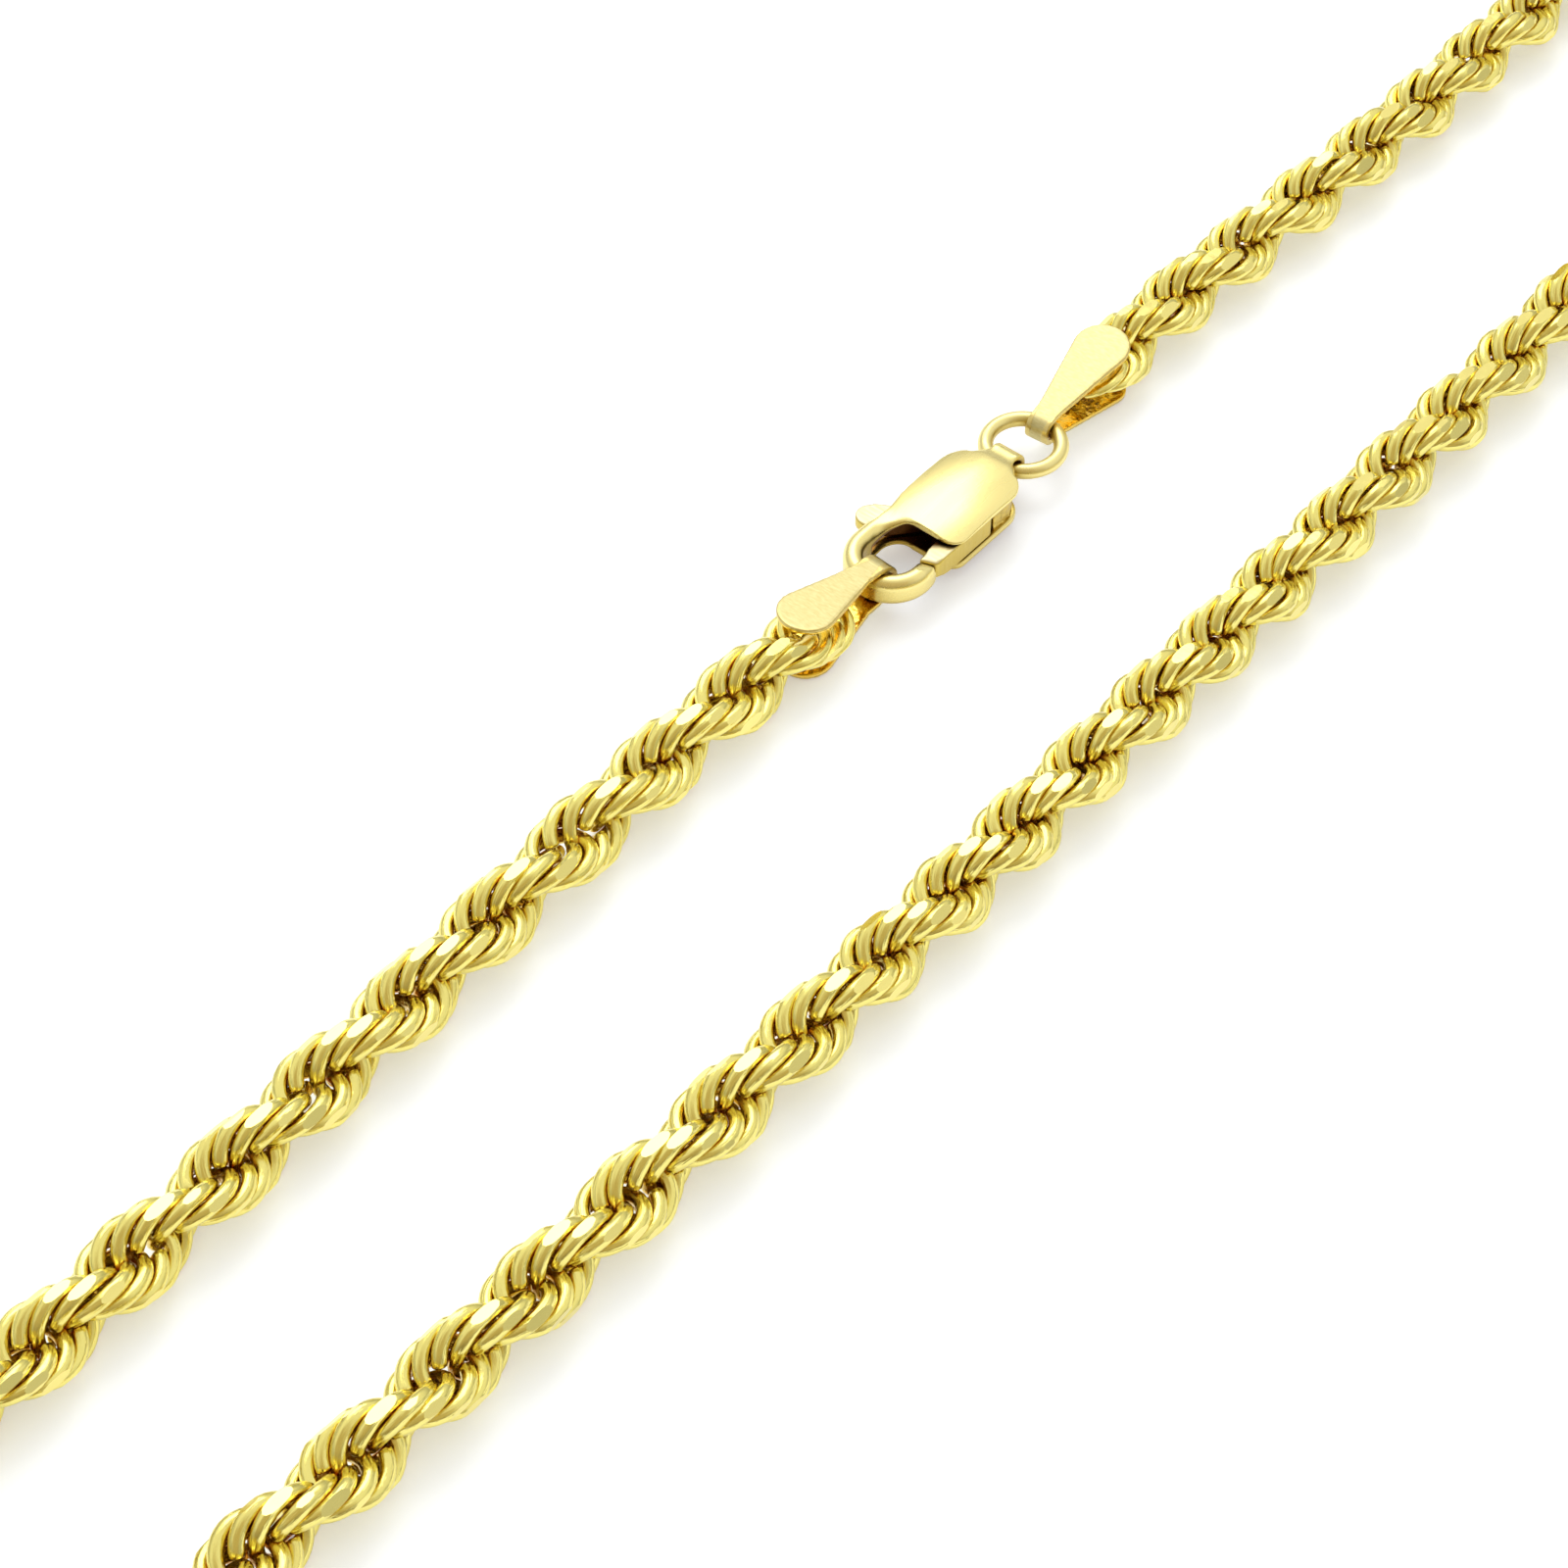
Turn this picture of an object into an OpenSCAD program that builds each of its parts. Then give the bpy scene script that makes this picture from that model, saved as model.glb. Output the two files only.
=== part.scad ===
// A gold rope chain necklace with a lobster clasp, laid out on a flat surface as a long closed loop.
// X runs along the two strands, Y across them and Z up. The origin is on the surface, at the middle
// of the loop's outline. All sizes are in millimetres.

/* [Rope chain] */
// Thickness of the rope across its cut flats
rope_d = 4; // [3.6:0.1:4.4]
// Length of rope in half a turn of its twist
half_turn = 6.1; // [5.4:0.1:7]
// Radius of one wire link, to the middle of its wire
link_r = 1.8; // [1.6:0.05:2]
// Thickness of the link wire
link_wire = 0.8; // [0.6:0.05:1]

/* [Clasp] */
// Radius of the hook's bend, to the middle of the hook
hook_r = 2.08; // [1.9:0.02:2.4]
// Thickness of the hook, seen from above
hook_t = 1.15; // [1:0.05:1.3]
// Height of the hook
hook_h = 1.8; // [1.6:0.1:2]
// Length of the clasp's body without the hook and the tail strap
body_l = 6.95; // [6.6:0.05:8]
// Width of the clasp's body
body_w = 5.05; // [4.9:0.05:5.6]
// Height of the clasp's body at its crown
body_h = 2.8; // [2.6:0.05:3.2]
// Thickness of the sheet metal that the shells are stamped from
shell_t = 0.4; // [0.3:0.05:0.5]
// Height of the space between the two shells, at their edges
slot_h = 1.65; // [1.5:0.05:1.75]
// Radius of the rivet that the lever turns on
rivet_r = 0.45; // [0.35:0.05:0.6]
// Width of the tail strap
strap_w = 1.5; // [1.3:0.1:1.8]
// Thickness of the tail strap
strap_t = 0.35; // [0.25:0.05:0.45]
// Radius of the lever's thumb tab
tab_r = 0.85; // [0.7:0.05:1]
// Thickness of the lever's thumb tab
tab_t = 0.78; // [0.6:0.02:1.2]
// Free space round the lever, above, below and at the hook's end
lever_gap = 0.12; // [0.08:0.01:0.2]
// Free space between the rivet and the lever's hole, all round
rivet_gap = 0.05; // [0.03:0.01:0.1]

/* [Jump ring] */
// Radius of the jump ring, to the middle of its wire
ring_r = 2.15; // [1.9:0.05:2.4]
// Thickness of the jump ring's wire
ring_wire = 0.9; // [0.8:0.05:1.1]

/* [End tags] */
// Length of the tag at the hook, from the hook's middle to the paddle's end
hook_tag_l = 6.9; // [6.5:0.05:7.5]
// Length of the tag at the ring, from the ring wire's middle to the paddle's end
ring_tag_l = 7.6; // [7:0.05:8]
// Width of the paddle
paddle_w = 3.3; // [3:0.1:3.8]
// Width of the tag where it folds
neck_w = 1.45; // [1.2:0.05:1.8]
// Thickness of the tag's sheet
tag_t = 0.35; // [0.25:0.05:0.4]
// Free space between a fold and the wire in it
fold_gap = 0.1; // [0.06:0.02:0.16]
// How far the rope's end stays clear of the hook
hook_setback = 2.4; // [2.3:0.1:3]
// How far the rope's end stays clear of the jump ring's wire
ring_setback = 3.2; // [2.4:0.1:3.4]

/* [Hidden] */
$fn = 48;
// Overlap of solids that would otherwise only touch
eps = 0.02;

// Height of the middle of the whole clasp end, which is the rope's own
mid_z = rope_d / 2;
// Share of the slot between the shells that lies below that middle
slot_below = 0.54;
// Lower and upper face of the slot
slot_low = mid_z - slot_h * slot_below;
slot_top = slot_low + slot_h;
// Underside of the lower shell and top of the dome
body_low = slot_low - shell_t;
crown_z = body_low + body_h;

// The clasp lies along X, with its hook at the left and its tail at the right. This is the middle of
// the hook's bend.
hook_c = [-3.1, 8.75];
// Inner and outer radius of the bend
hook_in = hook_r - hook_t / 2;
hook_out = hook_r + hook_t / 2;
// Angle round the bend at which the hook ends, at the gate
tip_a = 289;
// Length of the hook's straight arm, at its full height
arm_l = 1.3;
// Length over which the arm's top runs on under the dome's skin
arm_blend = 2.8;
// How far the body's open edge stands off from the bend
mouth_off = 0.27;
// How far the body's far side stands in from the hook's
side_in = 0.3;
// The body's ends along X, its sides along Y and its middle
body_x0 = hook_c.x + hook_r + mouth_off;
body_x1 = body_x0 + body_l;
body_y1 = hook_c.y + hook_out - side_in;
body_y0 = body_y1 - body_w;
body_mid = [(body_x0 + body_x1) / 2, (body_y0 + body_y1) / 2];
// Radii that the dome is pressed to, across the clasp and along it
dome_across = 7.5;
dome_along = 20;
// How far the lower shell's edge stands in from the upper one's
lip_in = 0.12;

// The hook's end thins to these heights below and above its middle
tip_low = 0.55;
tip_top = 0.68;
// Angle of the slope over which it thins
tip_slope = 13;

// Place of the lever's rivet
rivet = [body_x0 + 2.8, body_y0 + 1.9];
// Start of the back wall that joins the shells behind the lever's swing
wall_x = rivet.x + 0.9;

// The tail strap folds round the ring's wire, which lies in the fold with the fold's own gap. This is the
// inner radius of its fold.
strap_in = ring_wire / 2 + 0.2;
// How far the fold's middle stands out from the body
strap_out = 0.72;
strap_c = [body_x1 + strap_out, hook_c.y - 0.05];
// Across a fold the wire's curve drops away from its middle, so each fold leaves room for that
function sag(r, half) = r - sqrt(r * r - half * half) + 0.05;
ring_side = 0.1;
ring_c = [strap_c.x + strap_in - fold_gap - ring_wire / 2 + ring_r - sag(ring_r, strap_w / 2 + ring_side),
          strap_c.y + ring_side];

// Where each tag's fold holds its wire, and which way the tag leads from there
hook_hold_a = 185;
hook_hold = hook_c + (hook_r - sag(hook_r, neck_w / 2)) * [cos(hook_hold_a), sin(hook_hold_a)];
hook_tag_a = 177;
ring_hold_a = 2;
ring_hold = ring_c + (ring_r - sag(ring_r, neck_w / 2)) * [cos(ring_hold_a), sin(ring_hold_a)];
ring_tag_a = 4.4;
hook_bend = hook_h / 2 + fold_gap;
ring_bend = ring_wire / 2 + fold_gap;

// Rope ends, soldered between the plates of the tags
rope_start = hook_hold + hook_setback * [cos(hook_tag_a), sin(hook_tag_a)];
rope_end = ring_hold + ring_setback * [cos(ring_tag_a), sin(ring_tag_a)];

// The rope's route: chosen points from the hook's tag round the left end, along the far strand,
// round the right end and back to the ring's tag
route_points = [
    [-19, 8.8], [-31, 8.5], [-47, 7.8], [-66, 7.2], [-80, 7.3], [-90, 8.2], [-98, 9.6], [-104, 10.7],
    [-109.5, 11], [-115, 9.5], [-119, 5.5], [-120.6, 0], [-119, -5.5], [-115, -9.5], [-109.5, -11],
    [-104, -10.7], [-98, -9.7], [-90, -8.7], [-80, -8.2], [-60, -8.2], [-30, -8.4], [0, -8.5],
    [30, -8.6], [60, -8.5], [80, -8.2], [90, -8.7], [98, -9.7], [104, -10.7], [109.5, -11],
    [115, -9.5], [119, -5.5], [120.45, 0], [119, 5.5], [115, 9.5], [109.5, 11], [104, 10.7],
    [98, 9.8], [90, 8.9], [80, 8.4], [66, 8.2], [55, 8.2], [47, 8.3], [39, 8.6], [31, 9], [24, 9.3]
];
route = concat([rope_start], route_points, [rope_end]);

// A smooth curve through the route's points, as close steps
curve_steps = 8;
function route_at(i) = route[min(max(i, 0), len(route) - 1)];
function blend(a, b, c, d, t) =
    0.5 * (2 * b + (c - a) * t + (2 * a - 5 * b + 4 * c - d) * t * t + (3 * b - a - 3 * c + d) * t * t * t);
curve = [
    for (i = [0 : len(route) - 2], k = [0 : curve_steps - (i == len(route) - 2 ? 0 : 1)])
        blend(route_at(i - 1), route_at(i), route_at(i + 1), route_at(i + 2), k / curve_steps)
];
function lengths(i, so_far) =
    i == len(curve) ? [] : concat([so_far], lengths(i + 1, so_far + (i + 1 < len(curve) ?
        norm(curve[i + 1] - curve[i]) : 0)));
curve_s = lengths(0, 0);
rope_l = curve_s[len(curve_s) - 1];

// The twist is a little tighter in some stretches than in others: [place along the rope, tightness].
// It starts from a set angle, so that the lobes at both tags stand as they do in the picture.
tightness = [[0, 0.930], [55.4, 0.955], [73.4, 1.0096], [176, 1.0014], [196, 0.9462], [215.2, 0.9682],
             [222.3, 1.08], [243.8, 1.0621], [272.9, 1.042], [292.9, 1.0226], [431, 1.0095], [451, 1.0041]];
start_a = -88.5;
function half_turns(i, so_far) =
    i == len(curve) ? [] : concat([so_far], half_turns(i + 1, so_far + (i + 1 < len(curve) ?
        (curve_s[i + 1] - curve_s[i]) / half_turn *
        lookup((curve_s[i + 1] + curve_s[i]) / 2, tightness) : 0)));
turns = half_turns(0, 0);
turns_of = [for (i = [0 : len(curve) - 1]) [curve_s[i], turns[i]]];
function twist(s) = start_a + 180 * lookup(s, turns_of);
x_of = [for (i = [0 : len(curve) - 1]) [curve_s[i], curve[i].x]];
y_of = [for (i = [0 : len(curve) - 1]) [curve_s[i], curve[i].y]];
function spot(s) = [lookup(s, x_of), lookup(s, y_of)];
function heading(s) = let (d = spot(s + 0.3) - spot(s - 0.3)) d / norm(d);

// The rope's section: two lobes, as the links' rings reach, cut back to eight flats
lobe_angles = [-50, -25, 0, 25, 50, 90, 130, 155, 180, 205, 230, 270];
waist_r = 0.9 * link_wire;
function lobe_r(a) =
    let (from_lobe = abs((a + 90) % 180 - 90), along = from_lobe / 180 * half_turn)
    max(waist_r, sqrt(max(0, link_r * link_r - along * along)) + link_wire / 2);
function flat_r(a) = rope_d / 2 / cos((a + 22.5 + 3600) % 45 - 22.5);
// At both ends the rope is pressed flat between the tag's plates and rounded off as its last link is
link_out = link_r + link_wire / 2;
function plate_room(u, l, bend) = plate_in(min(u, l - 0.2), l, bend) - 0.05 + max(0, u - l + 0.2) * 0.35;
function end_room(s) = min(rope_d / 2, s < rope_l / 2 ? plate_room(s + hook_setback, hook_tag_l, hook_bend) :
    plate_room(rope_l - s + ring_setback, ring_tag_l, ring_bend));
function end_side(s) =
    let (u = max(0, link_out - min(s, rope_l - s))) max(0.25, sqrt(1 - pow(u / link_out, 2)));
function rope_ring(s) =
    let (at = spot(s), along = heading(s), left = [-along.y, along.x], room = end_room(s), side = end_side(s))
    [for (a = lobe_angles)
        let (turn = a + twist(s), r = min(lobe_r(a), flat_r(turn)), across = side * r * cos(turn))
        [at.x + left.x * across, at.y + left.y * across, mid_z + min(max(r * sin(turn), -room), room)]];

// A closed skin over the rings from one place on the rope to another, with five rings a half turn
module rope_piece(s0, s1) {
    steps = ceil((s1 - s0) / half_turn * 5);
    n = len(lobe_angles);
    points = [for (i = [0 : steps]) each rope_ring(s0 + (s1 - s0) * i / steps)];
    sides = [for (i = [0 : steps - 1], k = [0 : n - 1])
        let (a = i * n + k, b = i * n + (k + 1) % n) each [[a, b, a + n], [b, b + n, a + n]]];
    ends = [[for (k = [n - 1 : -1 : 0]) k], [for (k = [0 : n - 1]) steps * n + k]];
    color("gold") polyhedron(points, concat(sides, ends));
}

meet_s = lookup(0, [for (i = [0 : len(curve) - 1]) if (curve[i].y < 0 && curve[i].x < 60 &&
    curve[i].x > -60) [curve[i].x, curve_s[i]]]);
module rope_chain_left() rope_piece(0, meet_s);
module rope_chain_right() rope_piece(meet_s, rope_l);

// How far a fold's arc runs on under its plates, so that they are one piece
fold_lap = 3;

// One folded tag, with the held wire's middle at the origin and the paddle along +X. The two plates
// open from the fold like a V, as far as the rope's thickness.
function plate_slope(l, bend) = atan2(rope_d / 2, l) - asin((bend + tag_t) / norm([l, rope_d / 2]));
function plate_in(u, l, bend) = bend / cos(plate_slope(l, bend)) + u * tan(plate_slope(l, bend));

module end_tag(l, bend) {
    slope = plate_slope(l, bend);
    color("khaki") intersection() {
        union() {
            rotate([90, 0, 0]) rotate([0, 0, 90 + slope - fold_lap])
                rotate_extrude(angle = 180 - 2 * slope + 2 * fold_lap)
                    translate([bend, -paddle_w]) square([tag_t, 2 * paddle_w]);
            for (side = [0, 1]) mirror([0, 0, side])
                rotate([0, -slope, 0]) translate([0, -paddle_w, bend]) cube([l + 1, 2 * paddle_w, tag_t]);
        }
        translate([0, 0, -rope_d]) linear_extrude(2 * rope_d) tag_plan(l, bend);
    }
}

module tag_plan(l, bend) {
    r = paddle_w / 2;
    centre = [l - r, 0];
    neck_x = bend;
    half = neck_w / 2;
    reach = norm([centre.x - neck_x, half]);
    lean = asin(r / reach) - atan(half / (centre.x - neck_x));
    touch = centre + r * [-sin(lean), cos(lean)];
    translate(centre) circle(r);
    polygon([[neck_x, -half], [touch.x, -touch.y], [touch.x, touch.y], [neck_x, half]]);
    translate([-bend - 2 * tag_t, -half]) square([2 * bend + 2 * tag_t + eps, neck_w]);
}

module hook_end_tag()
    translate([hook_hold.x, hook_hold.y, mid_z]) rotate([0, 0, hook_tag_a]) end_tag(hook_tag_l, hook_bend);

module ring_end_tag()
    translate([ring_hold.x, ring_hold.y, mid_z]) rotate([0, 0, ring_tag_a]) end_tag(ring_tag_l, ring_bend);

module jump_ring()
    color("gold") translate([ring_c.x, ring_c.y, mid_z])
        rotate_extrude() translate([ring_r, 0]) circle(ring_wire / 2);

// Points of an outline whose corners, given as [x, y, radius], are rounded by arcs
function arc_corner(a, b, c, r) =
    r == 0 ? [b] :
    let (u = (a - b) / norm(a - b), v = (c - b) / norm(c - b), half = acos(u * v) / 2,
         centre = b + (u + v) / norm(u + v) * r / sin(half),
         p = b + u * r / tan(half) - centre, q = b + v * r / tan(half) - centre,
         from = atan2(p.y, p.x), turn = (atan2(q.y, q.x) - from + 540) % 360 - 180)
    [for (i = [0 : 5]) centre + r * [cos(from + turn * i / 5), sin(from + turn * i / 5)]];
function rounded(rows) =
    let (n = len(rows), xy = [for (row = rows) [row[0], row[1]]])
    [for (i = [0 : n - 1]) each arc_corner(xy[(i + n - 1) % n], xy[i], xy[(i + 1) % n], rows[i][2])];

// The clasp's outline from above, drawn in by a margin for what lies inside the shells
module clasp_outline(in = 0) polygon(rounded([
    [hook_c.x, hook_c.y + hook_in + in, 0],
    [body_x0 + in, hook_c.y + hook_in + in, 1.2],
    [body_x0 + in, body_y0 + in, 1 - in / 2],
    [body_x1 - 0.9, body_y0 + in, 1.6 - in],
    [body_x1 - in, strap_c.y - strap_w / 2 - 0.2, 0.5],
    [body_x1 - in, strap_c.y + strap_w / 2 + 0.2, 0.5],
    [body_x1 - 1, body_y1 - in, 1.6 - in],
    [body_x0 + 0.2, body_y1 - in, 2],
    [hook_c.x, hook_c.y + hook_out - in, 0]
]));

// The dome that the upper shell is pressed to, less a sheet's thickness for its hollow
module dome(in = 0)
    translate([body_mid.x, body_mid.y, crown_z - dome_along])
        rotate([90, 0, 0]) rotate_extrude($fn = 96)
            translate([dome_along - dome_across, 0]) circle(dome_across - in, $fn = 96);

module upper_shell() difference() {
    intersection() {
        translate([0, 0, slot_top]) linear_extrude(body_h) clasp_outline();
        dome();
    }
    intersection() {
        translate([0, 0, slot_top - 1]) linear_extrude(body_h) clasp_outline(shell_t);
        dome(shell_t);
    }
}

module lower_shell() translate([0, 0, body_low]) linear_extrude(shell_t) clasp_outline(lip_in);

module hook_section() {
    for (side = [-1, 1]) translate([0, side * (hook_h - hook_t) / 2]) circle(hook_t / 2);
    square([hook_t, hook_h - hook_t], center = true);
}

// The hook runs from the arm at the top of its bend round to its end at the gate, where it thins
module hook() translate([hook_c.x, hook_c.y, mid_z]) difference() {
    union() {
        rotate([0, 0, 90]) rotate_extrude(angle = tip_a - 90) translate([hook_r, 0]) hook_section();
        translate([0, hook_r, 0]) rotate([90, 0, 90]) linear_extrude(arm_l) hook_section();
    }
    rotate([0, 0, tip_a]) for (end = [[0, tip_low], [1, tip_top]])
        mirror([0, 0, end[0]]) translate([hook_in, 0, -end[1]]) rotate([tip_slope, 0, 0])
            translate([-1, -hook_r, -hook_h]) cube([hook_t + 2, hook_r + 1, hook_h]);
}

// Above the slot the arm runs on into the dome
module arm_into_dome() intersection() {
    translate([hook_c.x, hook_c.y + hook_r, mid_z]) rotate([90, 0, 90])
        linear_extrude(arm_blend) hook_section();
    translate([0, 0, slot_top]) linear_extrude(body_h) clasp_outline();
}

// Between the shells: the wall behind the lever's swing, and the root of the hook's arm
wall_off_strap = 0.6;
module side_walls() {
    translate([0, 0, body_low]) linear_extrude(slot_top + eps - body_low) difference() {
        intersection() {
            clasp_outline();
            translate([wall_x, strap_c.y + strap_w / 2 + wall_off_strap]) square([body_l, body_w]);
        }
        clasp_outline(shell_t);
    }
    translate([0, 0, body_low]) linear_extrude(mid_z - body_low) intersection() {
        clasp_outline(lip_in);
        translate([hook_c.x, hook_c.y]) square([arm_l, body_w]);
    }
}

// Length of the strap's lower end, which stands on the lower shell
foot_l = 0.9;
module tail_strap() translate([strap_c.x, strap_c.y, mid_z]) {
    rotate([90, 0, 0]) rotate([0, 0, -90]) rotate_extrude(angle = 180)
        translate([strap_in, -strap_w / 2]) square([strap_t, strap_w]);
    for (side = [0, 1]) mirror([0, 0, side])
        translate([-1, -strap_w / 2, strap_in]) cube([1, strap_w, strap_t]);
    translate([body_x1 - strap_c.x - foot_l, -strap_w / 2, body_low - mid_z])
        cube([foot_l - lip_in, strap_w, mid_z - strap_in - body_low]);
}

module clasp_body() color("gold") {
    upper_shell();
    lower_shell();
    hook();
    arm_into_dome();
    side_walls();
    tail_strap();
    translate([rivet.x, rivet.y, body_low]) cylinder(r = rivet_r, h = crown_z - shell_t / 2 - body_low);
}

// The gate's end stands square to the hook's end, a gap away from it
tip_out = [cos(tip_a), sin(tip_a)];
tip_on = [-sin(tip_a), cos(tip_a)];
gate_face = hook_c + hook_r * tip_out + lever_gap * tip_on;
gate_in = gate_face - hook_t / 2 * tip_out;
gate_out = gate_face + hook_t / 2 * tip_out;
tab_c = [body_x0 - 0.25, body_y1 + 0.8];
lever_z = slot_low + lever_gap;
lever_y0 = body_y0 + 0.2;

module lever_outline() polygon(rounded([
    [gate_in.x, gate_in.y, 0.1],
    [gate_out.x, max(gate_out.y, lever_y0 - 0.05), 0.2],
    [body_x0 + 0.4, lever_y0, 0.8],
    [rivet.x + 0.85, lever_y0, 0.4],
    [rivet.x + 1.05, rivet.y + 0.4, 0.7],
    [rivet.x + 0.3, rivet.y + 1.5, 0.5],
    [tab_c.x + 2, body_y1 - 0.6, 0.6],
    [tab_c.x + 1.3, body_y1 + 0.5, 0.5],
    [tab_c.x + 0.7, tab_c.y + tab_r * 0.8, 0.3],
    [tab_c.x, tab_c.y, 0],
    [tab_c.x - 0.3, body_y1 - 0.3, 0.2],
    [body_x0 + 0.45, body_y1 - 1.2, 0.4],
    [rivet.x - 1.1, rivet.y + 0.9, 0.5],
    [rivet.x - 1.3, rivet.y - 0.1, 0.5],
    [body_x0 + 0.4, gate_in.y + 0.15, 0.5]
]));

module clasp_lever() color("khaki") difference() {
    union() {
        translate([0, 0, lever_z]) linear_extrude(slot_h - 2 * lever_gap) intersection() {
            lever_outline();
            translate([gate_in.x - 1, body_y0 - 1]) square([body_l + 1, body_w + 0.9]);
        }
        translate([0, 0, lever_z]) linear_extrude(tab_t) {
            lever_outline();
            translate(tab_c) circle(tab_r);
        }
    }
    translate([rivet.x, rivet.y, -1]) cylinder(r = rivet_r + rivet_gap, h = 10);
    // The gate thins from below, as the hook's end does
    translate([gate_face.x, gate_face.y, mid_z - tip_low]) rotate([0, 0, tip_a]) rotate([-tip_slope, 0, 0])
        translate([-hook_t, -1, -hook_h]) cube([2 * hook_t, hook_r + 1, hook_h]);
}

rope_chain_left();
rope_chain_right();
hook_end_tag();
ring_end_tag();
jump_ring();
clasp_body();
clasp_lever();
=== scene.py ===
# A gold rope chain necklace with a lobster clasp, laid out on a pale table as a long closed loop. Its
# real links, of round wire cut with a diamond tool, are made here one by one along the rope's route.
import math
import random

import bmesh
import bpy
import numpy as np
from mathutils import Matrix, Vector


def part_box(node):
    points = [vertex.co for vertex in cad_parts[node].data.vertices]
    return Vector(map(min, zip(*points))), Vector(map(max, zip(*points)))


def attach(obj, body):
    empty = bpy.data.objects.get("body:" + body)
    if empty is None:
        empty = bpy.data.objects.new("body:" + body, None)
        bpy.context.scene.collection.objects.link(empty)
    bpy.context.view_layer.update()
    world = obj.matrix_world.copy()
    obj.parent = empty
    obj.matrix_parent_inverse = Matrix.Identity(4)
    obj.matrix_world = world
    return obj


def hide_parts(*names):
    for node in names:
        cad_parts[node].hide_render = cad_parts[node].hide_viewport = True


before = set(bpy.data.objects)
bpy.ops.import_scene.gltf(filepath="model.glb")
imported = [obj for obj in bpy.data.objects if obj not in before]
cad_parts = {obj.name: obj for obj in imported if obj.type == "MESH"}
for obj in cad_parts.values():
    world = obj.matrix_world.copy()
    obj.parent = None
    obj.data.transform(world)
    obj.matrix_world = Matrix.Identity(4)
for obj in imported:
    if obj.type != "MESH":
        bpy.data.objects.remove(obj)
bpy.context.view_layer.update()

mm = 0.001               # lengths are in metres


# The rope chain is some 540 open rings of round gold wire, each hooked through those before it and
# turned a little against the last, so that they pile into a rope of two lobes. Its two ends are pressed
# flat and soldered between the plates of the end tags. These are the places that it passes, in metres.
rope_route = np.array([
    (-0.007389, 0.008710), (-0.019, 0.0088), (-0.031, 0.0085), (-0.047, 0.0078), (-0.066, 0.0072),
    (-0.080, 0.0073), (-0.090, 0.0082), (-0.098, 0.0096), (-0.104, 0.0107), (-0.1095, 0.011),
    (-0.115, 0.0095), (-0.119, 0.0055), (-0.1206, 0), (-0.119, -0.0055), (-0.115, -0.0095),
    (-0.1095, -0.011), (-0.104, -0.0107), (-0.098, -0.0097), (-0.090, -0.0087), (-0.080, -0.0082),
    (-0.060, -0.0082), (-0.030, -0.0084), (0, -0.0085), (0.030, -0.0086), (0.060, -0.0085),
    (0.080, -0.0082), (0.090, -0.0087), (0.098, -0.0097), (0.104, -0.0107), (0.1095, -0.011),
    (0.115, -0.0095), (0.119, -0.0055), (0.12045, 0), (0.119, 0.0055), (0.115, 0.0095), (0.1095, 0.011),
    (0.104, 0.0107), (0.098, 0.0098), (0.090, 0.0089), (0.080, 0.0084), (0.066, 0.0082), (0.055, 0.0082),
    (0.047, 0.0083), (0.039, 0.0086), (0.031, 0.0090), (0.024, 0.0093), (0.014108, 0.009114),
])
rope_height = 2 * mm      # of the rope's middle above the table


def smooth_line(points, steps):
    """A smooth curve through the points, with that many steps from each to the next."""
    ends = np.vstack([points[:1], points, points[-1:]])
    line = [0.5 * (2 * b + (c - a) * t + (2 * a - 5 * b + 4 * c - d) * t * t
                   + (3 * b - a - 3 * c + d) * t * t * t)
            for a, b, c, d in zip(ends, ends[1:], ends[2:], ends[3:]) for t in np.arange(steps) / steps]
    return np.vstack([line, points[-1:]])


rope_line = smooth_line(rope_route, steps=24)
along_line = np.concatenate([[0], np.cumsum(np.linalg.norm(np.diff(rope_line, axis=0), axis=1))])
rope_length = along_line[-1]


def rope_at(along):
    """Where the rope's middle is at these lengths along it, and which way is left of it there."""
    def at(s):
        return np.stack([np.interp(s, along_line, rope_line[:, 0]),
                         np.interp(s, along_line, rope_line[:, 1])], -1)
    near = 0.3 * mm
    ahead = at(along + near) - at(along - near)
    ahead /= np.linalg.norm(ahead, axis=-1, keepdims=True)
    middle = at(along)
    beyond = along - np.clip(along, 0, rope_length)
    middle += ahead * beyond[..., None]
    return middle, np.stack([-ahead[..., 1], ahead[..., 0]], -1)


# The rope's lobes change places once in each half turn. It is wound a little tighter in some stretches
# than in others: (place along it in metres, tightness).
half_turn = 6.1 * mm
tightness = np.array([
    (0, 0.930), (0.0554, 0.955), (0.0734, 1.0096), (0.176, 1.0014), (0.196, 0.9462), (0.2152, 0.9682),
    (0.2223, 1.08), (0.2438, 1.0621), (0.2729, 1.042), (0.2929, 1.0226), (0.431, 1.0095), (0.451, 1.0041),
])
first_turn = math.radians(-88.5)
middles = (along_line[1:] + along_line[:-1]) / 2
turn_line = first_turn + math.pi * np.concatenate([[0], np.cumsum(
    np.diff(along_line) / half_turn * np.interp(middles, tightness[:, 0], tightness[:, 1]))])

# One link: a wire ring with a gap a little wider than the wire, through which the fourth link on passes.
# The gaps lie at the front of one link and at the back of the next. The wire's cut ends have a small bevel.
wire_r = 0.4 * mm
link_r = 1.8 * mm
link_turn = math.radians(26.56)
gap_half = math.radians(18)
end_r = 0.82 * wire_r
end_bevel = 0.25 * wire_r
wire_steps = 34
wire_sides = 14
link_out = link_r + wire_r

first, last = np.interp([link_out, rope_length - link_out], along_line, turn_line)
link_count = round((last - first) / link_turn) + 1
link_turns = np.linspace(first, last, link_count)
link_places = np.interp(link_turns, turn_line, along_line)
pitches = np.gradient(link_places)
slack = np.random.default_rng(4)


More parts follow.
